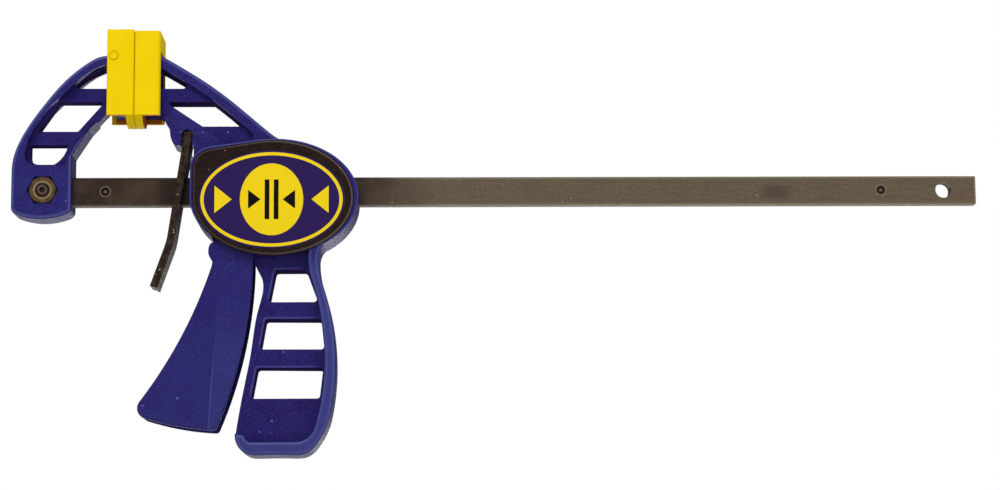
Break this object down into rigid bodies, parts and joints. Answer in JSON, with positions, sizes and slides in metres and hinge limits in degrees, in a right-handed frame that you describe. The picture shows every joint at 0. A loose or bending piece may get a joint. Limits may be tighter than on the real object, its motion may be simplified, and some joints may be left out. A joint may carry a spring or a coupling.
{
  "type": "quick release bar clamp",
  "caption": "One-handed bar clamp: fixed jaw on a flat steel bar, sliding jaw with squeeze trigger, grip and release lever, soft jaw pads.",
  "frame": {"origin": "centre of the jaw opening's seam projected onto the bar: on the bar's centre line, in the clamp's middle plane, where the closed pads meet", "axes": "+X along the bar away from the fixed jaw, +Z from the bar to the jaw tips, -Y the labelled side"},
  "size_m": [0.2039, 0.0142, 0.0901],
  "materials": {
    "bar_steel": "black oxide, satin",
    "jaw_plastic": "moulded blue nylon, satin",
    "pad_rubber": "soft yellow, satin",
    "cover_plastic": "dark brown-black, satin",
    "label_film": "printed film, gloss",
    "fastener_steel": "zinc plated",
    "lever_steel": "black oxide",
    "spring_steel": "drawn wire"
  },
  "bodies": {
    "bar_and_fixed_jaw": {"bar": "bar_steel", "fixed_jaw": "jaw_plastic", "fixed_jaw_bolt": "fastener_steel", "fixed_jaw_nut": "fastener_steel", "fixed_pad": "pad_rubber"},
    "moving_jaw": {"moving_jaw_body": "jaw_plastic", "moving_pad": "pad_rubber", "front_cover": "cover_plastic", "rear_cover": "cover_plastic", "front_label": "label_film", "trigger_pin": "fastener_steel", "driving_spring": "spring_steel", "brake_spring": "spring_steel"},
    "trigger": {"trigger": "jaw_plastic"},
    "driving_levers": {"driving_lever_front": "lever_steel", "driving_lever_rear": "lever_steel"},
    "release_lever": {"release_lever": "lever_steel"}
  },
  "joints": [
    {"name": "jaw_slide", "type": "slide", "parent": "bar_and_fixed_jaw", "child": "moving_jaw", "axis": [1, 0, 0], "range_m": [0, 0.1095]},
    {"name": "trigger_squeeze", "type": "hinge", "parent": "moving_jaw", "child": "trigger", "pos_m": [0.0199, 0, 0.0047], "axis": [0, -1, 0], "range_deg": [0, 18], "stiffness_Nm_per_rad": 0.3, "springref_deg": -17.19},
    {"name": "driving_lever_feed", "type": "slide", "parent": "moving_jaw", "child": "driving_levers", "axis": [1, 0, 0], "range_m": [0, 0.0017], "deforming": ["driving_spring"]},
    {"name": "release_press", "type": "hinge", "parent": "moving_jaw", "child": "release_lever", "pos_m": [0.0111, 0, 0.0116], "axis": [0, -1, 0], "range_deg": [0, 6], "stiffness_Nm_per_rad": 0.05, "springref_deg": -17.19, "deforming": ["brake_spring"]}
  ],
  "couplings": [
    {"joint": "driving_lever_feed", "follows": "trigger_squeeze", "m_per_rad": 0.0054}
  ]
}
